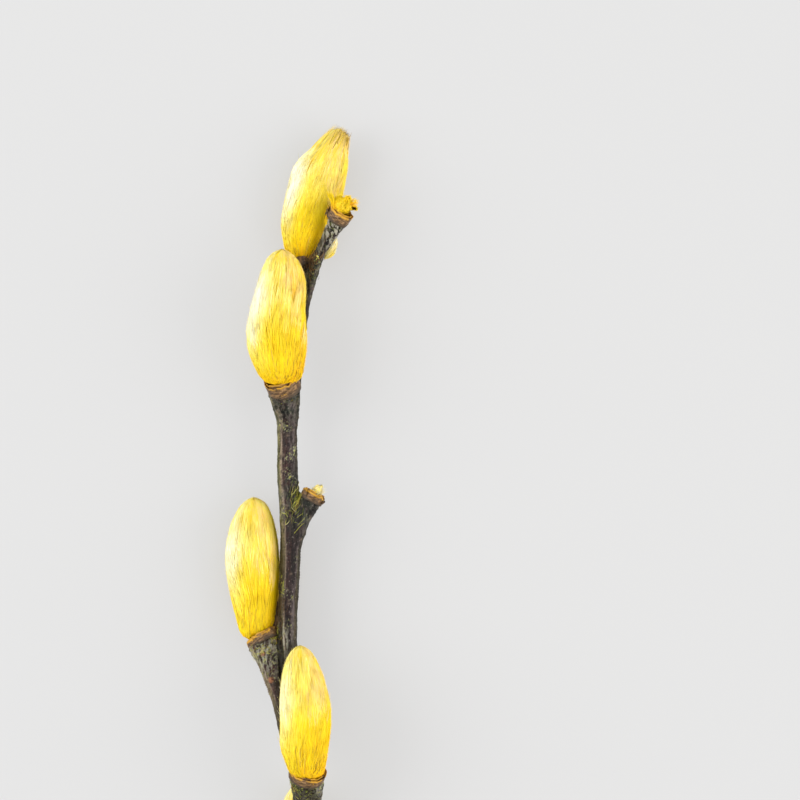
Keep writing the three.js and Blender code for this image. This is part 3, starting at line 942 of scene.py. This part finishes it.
# For each catkin: how many hairs it has and how many millimetres wide they are, how peach its right
# side is and how much painted light pales its left, how its combing turns, how many millimetres its
# foot sits deeper in its cup and is shifted, how much it fills its cup, and its swellings as skin_of
# takes them.
plain_catkin = {"peach": 0.5, "pale": 0.3, "sunk": 0.5, "foot_shift": (0, 0, 0), "bulges": [],
                "hair_width": 0.078}
catkin_looks = {
    1: {"hairs": 8200, "pale": 0.44, "lean": 0.01, "sunk": 0.3, "foot_shift": (0.9, 0, 0),
        "fill": 0.25, "bulges": [(0.64, 0.5, 0.15, 0.17, 1.4), (0.16, 0.0, 0.13, 0.17, 0.7),
                                 (0.97, 0.0, 0.1, 0.2, -0.5)]},
    2: {"hairs": 8600, "peach": 0.8, "pale": 0.37, "lean": -0.01, "sunk": -0.1,
        "fill": 0.22, "bulges": [(0.08, 0.1, 0.1, 0.2, 0.35), (0.78, 0.0, 0.14, 0.13, 0.6),
                                 (0.75, 0.5, 0.2, 0.15, -0.4)]},
    3: {"hairs": 8600, "peach": 0.62, "pale": 0.32, "lean": 0.015, "foot_shift": (-0.9, 0.2, 0),
        "fill": 0.12, "bulges": [(0.10, 0.05, 0.1, 0.2, 0.6), (0.12, 0.5, 0.08, 0.15, -0.35)]},
    4: {"hairs": 8600, "peach": 0.55, "pale": 0.26, "lean": -0.015, "sunk": 0.8,
        "foot_shift": (0, -0.3, 0), "fill": 0.34, "bulges": [(0.22, 0.5, 0.13, 0.16, 0.85)]},
    5: {"hairs": 4600, "lean": 0.01, "fill": 0.3, "hair_width": 0.1},
    6: {"hairs": 5400, "lean": -0.01, "fill": 0.35, "hair_width": 0.1},
}
for number, look in catkin_looks.items():
    look = plain_catkin | look
    seat, facing = cup_axis(f"collar_{number}", f"catkin_{number}")
    foot_shift = np.array(look["foot_shift"]) - facing * look["sunk"]
    skin = skin_of(f"catkin_{number}", seat, look["fill"], foot_shift, look["bulges"])
    parts = fur_parts(skin, 100 + number, look["hairs"], look["peach"], look["pale"], look["lean"],
                      hair_width=look["hair_width"] * MM)
    if number == 1:
        parts.append(brush_part(skin))
    add_piece(f"fur_catkin_{number}", parts, fur, f"catkin_{number}")


# The bud behind the upper stem.
# It has only just opened, so only a small pale point of silky hairs shows. Like a catkin, it is
# combed to its tip.
bud_skin = skin_of("bud_back", mesh_points(nodes["bud_back"].data).min(0), fill=0.1)
bud_parts = fur_parts(bud_skin, seed=120, hairs=700, peach=0.35, pale=0.2, locks=60,
                      hair_length=2.4 * MM, hair_width=0.08 * MM, depth=0.22 * MM,
                      foot_shade=0.82, tip_shade=0.93)
add_piece("fur_bud_back", bud_parts, fur, "bud_back")


# The floss in the two empty cups.
# Matted seed floss, dyed with the rest: short threads curled over each other in lumps, with
# small hollows between them.
def floss_parts(skin, seed, threads, thread_length, lump, arch, shades, sunk=0.16 * MM):
    """Matted threads over a lumpy core, which is sunk this deep. lump is how high its lumps are
    and arch how far a thread stands off them; shades are the range of its colours."""
    rng = np.random.default_rng(seed)
    lumps = [(rng.uniform(0.2, 1.0), rng.uniform(0, 1), rng.choice([1.0, 0.8, -1.3, -0.9]))
             for n in range(30)]

    def swell(along, turn):
        height = np.zeros(np.shape(along))
        for middle, side, size in lumps:
            aside = np.minimum((turn - side) % 1.0, (side - turn) % 1.0)
            height += size * np.exp(-((along - middle) / 0.11) ** 2 - (aside / 0.07) ** 2)
        return lump * np.clip(height, -1.6, 1.0)

    # The core, with painted shade darkening its hollows.
    grid_along, grid_turn = skin_grid(rows=26, sides=32, last=0.99)
    core_swell = swell(grid_along, grid_turn)
    painted_hollow_shade = smooth_step(-0.3 * lump, -1.1 * lump, core_swell)
    core = core_part(skin, grid_along, grid_turn, core_swell - sunk,
                     shade=shades[0] - painted_hollow_shade * (shades[0] - 0.01),
                     height=0.45 - 0.4 * painted_hollow_shade, end_place=(shades[0], 0.45))

    # The threads: each curls one way, and most arch down to the core again at their end.
    shares = np.linspace(0, 1, 5)
    along = rng.uniform(0, 1, threads)[:, None]
    turn = rng.uniform(0, 1, threads)[:, None]
    first_heading = rng.uniform(0, 2 * math.pi, threads)[:, None]
    curl = np.repeat(rng.normal(size=threads)[:, None] * 0.6, len(shares), 1)
    heading = first_heading + np.cumsum(curl, axis=1)
    reach = thread_length * rng.uniform(0.4, 1.2, threads)[:, None] * shares
    rows = skin["rows"]
    girth = np.linalg.norm(np.roll(rows, 1, 1) - rows, axis=2).sum(1).mean()
    along = np.clip(along + np.cos(heading) * reach / skin["length"], 0, 1)
    turn = turn + np.sin(heading) * reach / girth
    is_loose = rng.uniform(0, 1, threads) < 0.12
    stand = rng.uniform(-0.15, 1.0, threads) * arch * np.where(is_loose, 1.8, 0.6)
    rise = np.where(is_loose[:, None], shares, np.sin(np.linspace(0, math.pi, 5)))
    height = swell(along, turn) - 0.08 * MM + rise * stand[:, None]
    ups = on_skin(skin["normals"], along, turn)
    paths = on_skin(rows, along, turn) + ups * height[..., None]
    widths = 0.09 * MM * rng.uniform(0.6, 1.3, threads)[:, None] * np.array([0.6, 1, 1, 0.8, 0])
    return [core, hair_mesh(paths, ups, widths, rng.uniform(*shades, threads))]


def tuft(seed, hairs, root, root_spread, ends, end_spread, width, shades):
    """A loose brush of hairs from about one place to about the line between two others. All
    places and lengths are in millimetres."""
    rng = np.random.default_rng(seed)
    level = rng.uniform(0, 1, hairs)[:, None]
    roots = np.array(root) + rng.normal(size=(hairs, 3)) * root_spread
    tips = np.array(ends[0]) * (1 - level) + np.array(ends[1]) * level
    tips = tips + rng.normal(size=(hairs, 3)) * end_spread
    bow = (roots + tips) / 2 + rng.normal(size=(hairs, 3)) * end_spread * 0.8
    paths = bowed(roots, bow, tips, (0.0, 0.33, 0.66, 1.0)) * MM
    up = unit(rng.normal(size=(hairs, 3)) * 0.35 + (0, 0, 1))
    widths = width * MM * rng.uniform(0.6, 1.3, hairs)[:, None] * np.array([0.9, 1.0, 0.8, 0.0])
    ups = np.repeat(up[:, None], paths.shape[1], 1)
    return hair_mesh(paths, ups, widths, rng.uniform(*shades, hairs))


# Each tuft has a seed, a number of hairs, its root and the spread of that, its two ends and
# their spread, the width of a hair and the range of its colours.
seat = cup_axis("collar_tip", "floss_tip")[0]
floss_skin = skin_of("floss_tip", seat, fill=0.25,
                     bulges=[(0.95, 0.0, 0.2, 0.1, -0.9), (0.8, 0.5, 0.3, 0.12, -0.5),
                             (0.9, 0.22, 0.15, 0.09, -0.8)])
tip_parts = floss_parts(floss_skin, seed=131, threads=1500, thread_length=1.5 * MM,
                        lump=0.62 * MM, arch=0.45 * MM, shades=(0.32, 0.56))
tip_parts += [
    tuft(133, 90, (4.9, 74.6, 12.0), 0.25, ((3.3, 77.6, 12.0), (4.4, 77.2, 12.4)), 0.22,
         0.08, (0.3, 0.5)),
    tuft(134, 45, (3.8, 73.9, 11.0), 0.4, ((3.1, 71.6, 10.4), (2.9, 72.4, 10.2)), 0.25,
         0.08, (0.22, 0.4)),
    tuft(135, 60, (7.6, 75.4, 12.2), 0.3, ((8.6, 76.6, 12.0), (8.9, 75.2, 11.8)), 0.25,
         0.08, (0.08, 0.4)),
]
add_piece("floss_in_tip_cup", tip_parts, fur, "floss_tip")

seat = cup_axis("collar_spur", "floss_spur")[0]
floss_skin = skin_of("floss_spur", seat, fill=0.3)
spur_floss_size = 0.72
floss_skin["rows"] = seat + (floss_skin["rows"] - seat) * spur_floss_size
spur_parts = floss_parts(floss_skin, seed=132, threads=380, thread_length=1.2 * MM,
                         lump=0.25 * MM, arch=0.35 * MM, shades=(0.74, 0.97), sunk=0.3 * MM)
spur_parts += [
    tuft(136, 320, (1.0, 23.9, 6.4), 0.4, ((0.5, 25.5, 6.2), (2.8, 25.6, 5.6)), 0.36,
         0.06, (0.84, 0.99)),
    tuft(139, 260, (1.1, 23.9, 6.2), 0.4, ((0.7, 25.2, 6.2), (2.6, 25.5, 5.6)), 0.36,
         0.06, (0.055, 0.1)),
    tuft(137, 110, (0.3, 24.2, 7.6), 0.3, ((-0.1, 24.9, 8.2), (1.0, 24.6, 8.2)), 0.2,
         0.12, (0.0, 0.26)),
    tuft(138, 110, (1.9, 23.6, 7.8), 0.3, ((1.2, 24.4, 8.4), (2.6, 23.8, 8.2)), 0.2,
         0.12, (0.0, 0.32)),
]
add_piece("floss_in_spur_cup", spur_parts, fur, "floss_spur")


# The cups.
# Each is the dry foot of the scale that once wrapped a bud: thin, papery and torn along its
# rim, with a second layer inside it. It grips the end of its spur.
def cup_sizes(cup, occupant, tilt):
    """A cup's own directions, its heights above its middle and its radii. tilt turns it by this
    many degrees, as seen from above."""
    middle, facing = cup_axis(cup, occupant)
    offset = mesh_points(nodes[cup].data) - middle
    heights = offset @ facing
    reach = np.linalg.norm(offset - heights[:, None] * facing, axis=1)
    low, high, rim = heights.min(), heights.max(), reach.max()
    foot = reach[heights < low + 0.02 * MM].max()
    turn = math.radians(tilt)
    facing = np.array([facing[0] * math.cos(turn) - facing[1] * math.sin(turn),
                       facing[0] * math.sin(turn) + facing[1] * math.cos(turn), facing[2]])
    side = unit(np.cross(facing, (0.0, 0.0, 1.0)))
    return {"middle": middle, "facing": facing, "side": side, "over": np.cross(side, facing),
            "low": low, "high": high, "rim": rim, "foot": foot}


def torn_shell(sizes, seed, start, end, foot, rim, wall, tear, layers):
    """A thin torn ring of scale from height start to height end, closed all round. foot and rim
    are its radii and wall its thickness. tear is how ragged its rim is, and layers how deep the
    fine steps of its outer face are."""
    rng = np.random.default_rng(seed)
    sides = 76
    turns = np.arange(sides) / sides * 2 * math.pi

    # The rim: broad lobes, a fine fringe and three deep notches.
    lobes = sum(rng.normal() * np.sin(k * turns + rng.uniform(0, 6)) / k ** 0.8 for k in range(1, 8))
    fringe = rng.normal(size=sides)
    fringe = 0.6 * fringe + 0.4 * np.roll(fringe, 1)
    whole_turn, notch_width = 6.283, 0.12
    notches = 0
    for at in rng.uniform(0, whole_turn, 3):
        gap = np.minimum((turns - at) % whole_turn, (at - turns) % whole_turn)
        notches = notches - 1.6 * np.exp(-(gap / notch_width) ** 2)
    top = end + tear * (0.55 * lobes + 0.22 * fringe + notches)
    top = np.maximum(top, start + (end - start) * 0.45)

    # The outer face, in overlapping layers with creases down it, and the inner face.
    shares = np.linspace(0, 1, 10)
    heights = start + (top[None] - start) * shares[:, None]
    radii = foot + (rim - foot) * np.clip((heights - start) / (end - start), 0, 1.2) ** 0.8
    layer_height = 0.24 * MM
    layer_phase = heights / layer_height + 0.35 * lobes[None]
    radii = radii + layers * ((layer_phase % 1.0) ** 2 - 0.3)
    creases = sum(rng.normal() * np.sin(k * turns + rng.uniform(0, 6)) for k in (5, 9, 14, 23)) / 2
    radii = radii + 0.035 * MM * creases * shares[:, None]
    thin_lip = 0.4 + 0.6 * smooth_step(0, 0.2, shares)
    inner_radii = radii[::-1] - wall * thin_lip[:, None]
    ring_heights = np.vstack([heights, heights[::-1]])
    ring_radii = np.vstack([radii, inner_radii])
    around = np.cos(turns)[:, None] * sizes["side"] + np.sin(turns)[:, None] * sizes["over"]
    points = (sizes["middle"] + ring_radii[..., None] * around[None]
              + ring_heights[..., None] * sizes["facing"])
    rings = len(ring_heights)
    chart = np.empty((rings, sides, 2))
    chart[..., 0] = np.arange(sides) / sides
    chart[len(shares):, :, 0] += 1
    chart[..., 1] = np.concatenate([shares, shares[::-1]])[:, None]
    onwards = np.roll(points, -1, 0) - np.roll(points, 1, 0)
    sideways = np.roll(points, -1, 1) - np.roll(points, 1, 1)
    facing = unit(np.cross(onwards, sideways))
    triangles = np.array(tube_faces(rings, sides, closed=True))
    return points.reshape(-1, 3), triangles, chart.reshape(-1, 2), facing.reshape(-1, 3)


def scale_scrap(sizes, seed, turn, radius, width, height, lean, start):
    """A torn scrap of scale that stands on the cup's side at this turn, in radians, and leans
    outwards by this angle."""
    rng = np.random.default_rng(seed)
    across, up = 11, 9
    spread, rise = np.meshgrid(np.linspace(-0.5, 0.5, across), np.linspace(0, 1, up))
    ragged = 0.12 * rng.normal(size=(up, across)) * rise
    waist = 1 - 0.55 * rise ** 1.5 + 0.10 * np.sin(7 * rise + rng.uniform(0, 6))
    angle = turn + spread * waist * width / radius
    reach = radius + np.sin(lean) * rise * height + 0.08 * MM * rng.normal() * rise
    reach = reach + 0.05 * MM * np.sin(spread * 19 + rng.uniform(0, 6)) * rise
    level = start + np.cos(lean) * (rise + ragged) * height
    outwards = np.cos(angle)[..., None] * sizes["side"] + np.sin(angle)[..., None] * sizes["over"]
    wall = 0.10 * MM
    points = np.array([sizes["middle"] + (reach + offset)[..., None] * outwards
                       + level[..., None] * sizes["facing"] for offset in (0.0, -wall)])
    points = points.reshape(-1, 3)

    # Its front, its back and the edge between them.
    grid = np.arange(up * across).reshape(up, across)
    back = up * across
    triangles = []
    for row in range(up - 1):
        for column in range(across - 1):
            a, b = grid[row, column:column + 2]
            d, c = grid[row + 1, column:column + 2]
            triangles += [(a, b, c), (a, c, d),
                          (a + back, c + back, b + back), (a + back, d + back, c + back)]
    edge = [*grid[0], *grid[1:, -1], *grid[-1, -2::-1], *grid[-2:0:-1, 0]]
    for a, b in zip(edge, edge[1:] + edge[:1]):
        triangles += [(a, a + back, b + back), (a, b + back, b)]
    triangles = np.array(triangles)
    corner = points[triangles[0]]
    front_way = np.cross(corner[1] - corner[0], corner[2] - corner[0])
    if front_way @ (corner[0] - sizes["middle"]) < 0:
        triangles = triangles[:, ::-1]
    around_share = (angle / (2 * math.pi)).ravel() % 1.0
    chart = np.stack([np.append(around_share, around_share + 1), np.tile(rise.ravel(), 2)], axis=1)
    facing = np.concatenate([outwards.reshape(-1, 3), -outwards.reshape(-1, 3)])
    return points, triangles, chart, facing


scale = Finish("dry bud scale")
round_share, rise = scale.chart("height")
inside = scale.curve(round_share, 0.99, 1.01)
angle = scale.times(round_share, 2 * math.pi)

# Thin layers that run round the cup: noise on a cylinder, stretched round it.
round_size, rise_size = 3.4, 9.0
ring_place = scale.add("CombineXYZ")
for way, turning in (("X", "COSINE"), ("Y", "SINE")):
    wave = scale.add("Math", operation=turning)
    scale.join(angle, wave.inputs[0])
    scale.join(scale.times(wave.outputs[0], round_size), ring_place.inputs[way])
scale.join(scale.times(rise, rise_size), ring_place.inputs["Z"])
layer_noise = scale.add("TexNoise")
layer_noise.inputs["Scale"].default_value = 1.0
layer_noise.inputs["Detail"].default_value = 5.0
scale.join(ring_place.outputs["Vector"], layer_noise.inputs["Vector"])
scale_colour = scale.ramp(layer_noise.outputs["Fac"], [
    (0.36, (0.026, 0.014, 0.006)), (0.46, (0.09, 0.048, 0.018)), (0.58, (0.19, 0.105, 0.042)),
    (0.72, (0.34, 0.205, 0.09))])
dark_spots = scale.curve(scale.noise(0.5 * MM, 4), 0.52, 0.66)
scale_colour = scale.mix(dark_spots, scale_colour, (0.085, 0.042, 0.02))

# A golden lip, a dark foot and a golden brown inside.
lip_patches = scale.curve(scale.noise(1.1 * MM, 3), 0.36, 0.52)
gilt_lip = scale.times(scale.curve(rise, 0.70, 0.93), lip_patches)
scale_colour = scale.tinted(scale_colour, gilt_lip, 0.85, (0.60, 0.31, 0.02))
dark_foot = scale.curve(rise, 0.38, 0.08)
scale_colour = scale.tinted(scale_colour, dark_foot, 0.85, (0.045, 0.032, 0.02))
scale_colour = scale.tinted(scale_colour, inside, 0.75, (0.42, 0.20, 0.015))
scale.coat(scale_colour, roughness=0.5, specular=0.25)
scale.bump(layer_noise.outputs["Fac"], 0.10 * MM)

# For each cup: the tear of its rim, and the torn scraps on its side as (turn in degrees, width,
# height, lean in degrees). Then its tilt in degrees, how much of its golden lip it has kept, how
# far its skirt reaches down over the spur and how much its rim is raised. Lengths are in
# millimetres.
plain_cup = {"tilt": 0, "gilt": 1.0, "skirt": 0.75, "raised": 0.0}
cup_looks = {
    "collar_1": {"tear": 0.16, "gilt": 0.5,
                 "scraps": [(20, 1.5, 1.3, 14), (95, 1.3, 1.2, 16), (150, 1.2, 1.0, 10)]},
    "collar_2": {"tear": 0.13, "gilt": 0.9, "tilt": 14, "skirt": 0.6, "raised": 0.8,
                 "scraps": [(100, 1.6, 0.8, 3)]},
    "collar_3": {"tear": 0.17, "tilt": 10, "skirt": 0.55,
                 "scraps": [(70, 2.1, 1.1, 12), (20, 1.5, 1.3, 20), (120, 1.3, 0.9, 8)]},
    "collar_4": {"tear": 0.14, "tilt": -14, "scraps": [(140, 1.7, 1.1, 12), (60, 1.3, 0.8, 5)]},
    "collar_5": {"tear": 0.15, "scraps": [(30, 1.5, 1.0, 10), (200, 1.2, 0.9, 14)]},
    "collar_6": {"tear": 0.15, "scraps": [(80, 1.6, 1.0, 9), (250, 1.3, 1.0, 14)]},
    "collar_tip": {"tear": 0.12, "tilt": -12, "scraps": [(160, 1.6, 1.0, 3)]},
    "collar_spur": {"tear": 0.14,
                    "scraps": [(70, 1.1, 0.9, 12), (130, 1.0, 1.1, 22), (20, 0.9, 0.8, 25)]},
}
for number, (cup, look) in enumerate(cup_looks.items()):
    look = plain_cup | look
    sizes = cup_sizes(cup, occupants[cup], look["tilt"])
    foot, rim = sizes["foot"] + 0.09 * MM, sizes["rim"] + 0.04 * MM
    low, high = sizes["low"] - look["skirt"] * MM, sizes["high"] + look["raised"] * MM
    outer_layer = torn_shell(sizes, 200 + number, low, high - 0.05 * MM, foot, rim,
                             wall=0.22 * MM, tear=look["tear"] * MM, layers=0.07 * MM)
    inner_layer = torn_shell(sizes, 240 + number, low + 0.5 * MM, high + 0.2 * MM,
                             foot - 0.32 * MM, rim - 0.3 * MM,
                             wall=0.16 * MM, tear=0.8 * look["tear"] * MM, layers=0.04 * MM)
    parts = [outer_layer, inner_layer]
    for scrap, (turn, width, height, lean) in enumerate(look["scraps"]):
        parts.append(scale_scrap(sizes, 300 + 10 * number + scrap, math.radians(turn),
                                 foot + 0.12 * MM, width * MM, height * MM, math.radians(lean),
                                 start=sizes["low"] - 0.3 * MM))
    for points, triangles, chart, facing in parts:
        chart[:, 1] *= look["gilt"]
    add_piece(f"scale_{cup}", parts, scale, cup, "height")


# The loose fibres and moss.
# Shed hairs and threads of moss cling to the bark under the cups and in the forks.
moss = Finish("moss and shed fibres")
moss_tint = moss.ramp(moss.chart("OFBake")[0], [
    (0.0, (0.035, 0.022, 0.010)), (0.2, (0.16, 0.085, 0.03)), (0.38, (0.42, 0.25, 0.05)),
    (0.52, (0.06, 0.08, 0.012)), (0.7, (0.27, 0.29, 0.03)), (0.86, (0.62, 0.56, 0.09)),
    (1.0, (0.80, 0.72, 0.50))])
moss.coat(moss_tint, roughness=0.6, specular=0.2)
bark_faces = BVHTree.FromPolygons([tuple(point) for point in stem_points],
                                  [tuple(face.vertices) for face in even_mesh.polygons])


def clinging_threads(seed, threads, middle, reach, length, heading, wander, width, shades,
                     stand=0.12):
    """Threads that lie on the bark round a place, seen from above. middle, reach, length, width
    and stand are in millimetres, heading is their direction in degrees from +X, and shades are
    the range of their colours."""
    rng = np.random.default_rng(seed)
    above_all = 40 * MM
    kept = []
    starts = np.array(middle) + rng.normal(size=(threads, 2)) * np.array(reach)
    ways = np.radians(heading) + rng.normal(size=threads) * wander
    for start, way, share in zip(starts, ways, rng.uniform(0.4, 1.2, threads)):
        seen_from = Vector((start[0] * MM, start[1] * MM, above_all))
        hit, normal = bark_faces.ray_cast(seen_from, Vector((0, 0, -1)))[:2]
        if hit is None:
            continue
        place, facing = np.array(hit), np.array(normal)
        ahead_way = np.array([math.cos(way), math.sin(way), 0.0])
        path, ups = [], []
        for station in range(4):
            path.append(place + facing * stand * MM * rng.uniform(0.2, 1.3))
            ups.append(facing)
            ahead_way = unit(ahead_way - (ahead_way @ facing) * facing + 0.14 * rng.normal(size=3))
            step = Vector(place + ahead_way * length * share * MM / 3)
            near, normal = bark_faces.find_nearest(step)[:2]
            place, facing = np.array(near), np.array(normal)
        kept.append((path, ups))
    paths = np.array([path for path, up in kept])
    ups = unit(np.array([up for path, up in kept]))
    widths = width * MM * rng.uniform(0.6, 1.3, len(kept))[:, None] * np.array([0.8, 1.0, 0.8, 0.0])
    return hair_mesh(paths, ups, widths, rng.uniform(*shades, len(kept)))


# Each group of threads has a seed, a number of threads, its middle as (across, along) the twig and
# its reach both ways, the threads' length, heading and wander, their width and shades, and how far
# they stand off the bark.
moss_parts = [
    # Under the first catkin: dark brown fibres that bridge the fork.
    clinging_threads(400, 170, (0.051, 65.358), (0.8, 1.0), 2.4, 100, 0.7, 0.09, (0.0, 0.22), 0.3),
    clinging_threads(401, 60, (0.576, 67.108), (0.5, 1.4), 2.0, 110, 0.6, 0.08, (0.0, 0.3), 0.35),
    clinging_threads(402, 8, (1.8885, 66.233), (0.07, 0.14), 0.35, 120, 1.5, 0.18, (0.84, 0.93)),
    clinging_threads(403, 36, (1.101, 63.958), (0.7, 2.0), 0.7, 75, 0.9, 0.05, (0.5, 0.72)),
    # In the fork of the right-hand spur.
    clinging_threads(404, 44, (-2.399, 22.483), (0.6, 1.5), 3.0, 62, 0.16, 0.05, (0.4, 0.92), 0.25),
    clinging_threads(405, 50, (-1.524, 24.408), (0.5, 0.7), 1.2, 50, 0.5, 0.05, (0.5, 0.84), 0.25),
    clinging_threads(406, 24, (-3.449, 20.733), (0.6, 0.9), 1.1, 75, 0.9, 0.05, (0.48, 0.95)),
    # By the left spur's cup, and down the spur.
    clinging_threads(407, 100, (-6.074, 0.083), (0.55, 0.6), 1.2, 40, 1.2, 0.06, (0.3, 0.92), 0.3),
    clinging_threads(408, 50, (-8.874, -2.717), (1.2, 0.5), 1.0, 20, 1.0, 0.055, (0.2, 0.9), 0.2),
    clinging_threads(409, 40, (-7.299, -5.692), (1.2, 2.4), 0.6, 80, 1.0, 0.05, (0.46, 0.8)),
    clinging_threads(410, 26, (-4.499, 8.833), (0.3, 0.9), 0.7, 85, 1.0, 0.06, (0.46, 0.85)),
    clinging_threads(411, 100, (-4.674, 4.108), (0.4, 3.0), 1.4, 85, 0.5, 0.08, (0.0, 0.08), 0.25),
    # Round the fourth catkin's cup.
    clinging_threads(412, 90, (-2.574, -24.942), (0.6, 1.1), 1.3, 100, 0.8, 0.06, (0.2, 0.95), 0.3),
    clinging_threads(413, 90, (0.051, -26.867), (1.8, 1.0), 0.8, 80, 1.2, 0.05, (0.5, 0.75)),
    clinging_threads(414, 24, (-1.874, -26.867), (0.5, 0.8), 0.9, 90, 0.8, 0.05, (0.5, 0.85)),
    # On the upper stem.
    clinging_threads(415, 36, (3.901, 70.608), (0.9, 2.2), 0.6, 65, 0.8, 0.05, (0.46, 0.78)),
    # Dark tufts in the fork of the left-hand spur and under the first catkin.
    tuft(417, 280, (-5.7, 0.9, 5.2), 0.42, ((-5.2, 6.6, 5.6), (-6.4, 3.2, 4.6)), 0.3,
         0.10, (0.0, 0.2)),
    tuft(419, 180, (-7.5, -0.1, 5.0), 0.35, ((-6.4, 3.0, 5.4), (-7.3, 2.0, 5.0)), 0.3,
         0.10, (0.0, 0.3)),
    tuft(418, 120, (-0.3, 65.2, 5.6), 0.35, ((0.7, 67.4, 5.4), (1.9, 69.6, 6.0)), 0.28,
         0.09, (0.05, 0.4)),
    # Under the second catkin's cup.
    clinging_threads(416, 24, (-4.149, 41.558), (1.4, 0.5), 0.6, 0, 0.8, 0.05, (0.44, 0.65)),
]
add_piece("shed_fibres", moss_parts, moss)
